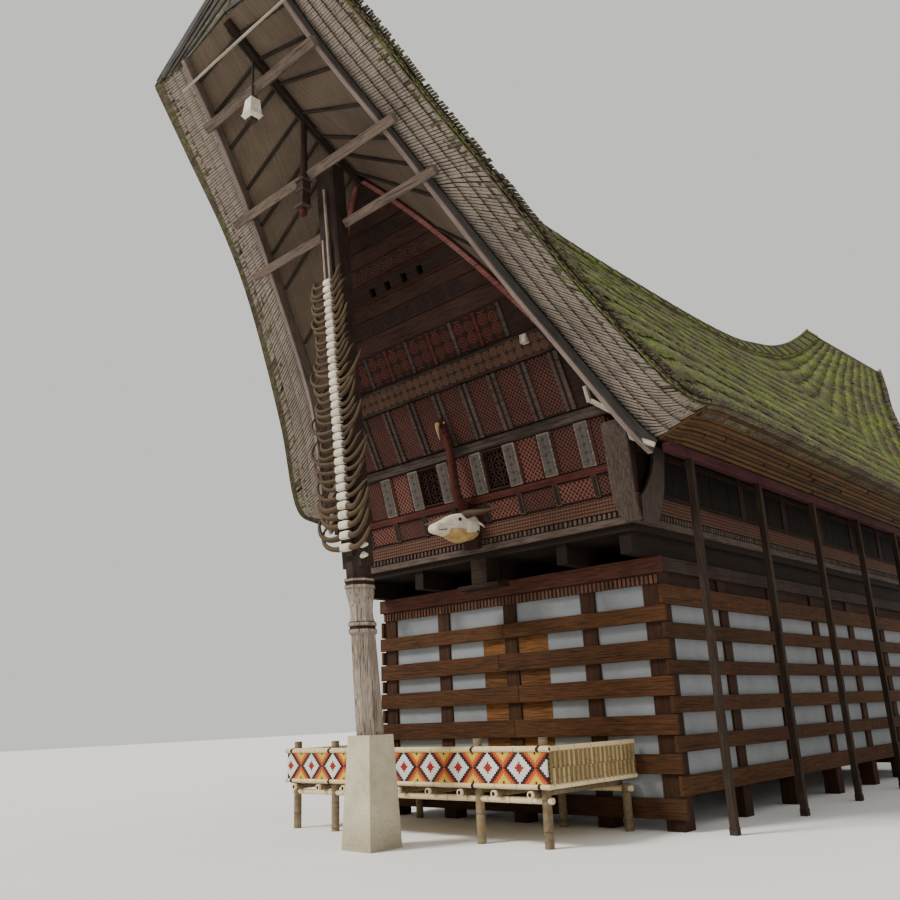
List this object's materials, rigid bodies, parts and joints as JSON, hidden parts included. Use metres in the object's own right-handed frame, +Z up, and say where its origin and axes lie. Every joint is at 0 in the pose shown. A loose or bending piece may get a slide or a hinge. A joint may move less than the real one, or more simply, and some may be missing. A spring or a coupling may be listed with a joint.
{
  "type": "traditional timber longhouse",
  "caption": "Tongkonan house: timber box on a railed under-storey below a boat-shaped roof of layered bamboo, with horned gable posts and a bamboo platform.",
  "frame": {"origin": "on the ground at the middle of the bounding box", "axes": "+Z up, the front gable with the horns and the platform faces -Y, length along Y"},
  "size_m": [9.0144, 22.618, 13.308],
  "materials": {
    "weathered_timber": "weathered, rough",
    "plank_brown": "worn plain planks",
    "carved_dark": "carved and painted in black, red and white",
    "carved_red": "red painted timber",
    "infill_grey": "faded grey-blue paint",
    "roof_bamboo": "weathered layered split bamboo",
    "pillar_concrete": "rough plaster",
    "horn": "dry buffalo horn",
    "bamboo_pale": "peeled bamboo",
    "woven_band": "painted woven bamboo strip",
    "woven_mat": "plain woven bamboo mat",
    "white_paint": "painted carving"
  },
  "bodies": {
    "root": {"front_pillar": "pillar_concrete", "front_post": "weathered_timber", "front_lower_frame": "plank_brown", "front_infill": "infill_grey", "front_wall": "carved_dark", "front_upper_rail": "weathered_timber", "front_gable": "carved_dark", "front_gable_frame": "carved_red", "front_verge_frame": "weathered_timber", "front_lower_rail": "carved_red", "horn_stack": "horn", "left_corner_board": "plank_brown", "right_corner_board": "plank_brown", "long_necked_bird": "carved_red", "buffalo_head": "white_paint", "centre_bracket": "carved_dark", "rear_pillar": "pillar_concrete", "rear_post": "weathered_timber", "rear_lower_frame": "plank_brown", "rear_infill": "infill_grey", "rear_wall": "carved_dark", "rear_upper_rail": "weathered_timber", "rear_gable": "carved_dark", "rear_gable_frame": "carved_red", "rear_verge_frame": "weathered_timber", "right_lower_frame": "plank_brown", "right_infill": "infill_grey", "right_wall": "carved_dark", "right_roof": "roof_bamboo", "right_eave_frame": "carved_red", "right_side_corner_board": "plank_brown", "left_lower_frame": "plank_brown", "left_infill": "infill_grey", "left_wall": "carved_dark", "left_roof": "roof_bamboo", "left_eave_frame": "carved_red", "floor": "plank_brown", "sill_ring": "carved_dark", "ridge_cap": "roof_bamboo", "platform_frame": "bamboo_pale", "platform_deck": "bamboo_pale", "platform_front_guard": "woven_band", "platform_right_guard": "woven_mat", "platform_left_guard": "woven_mat"}
  },
  "joints": []
}
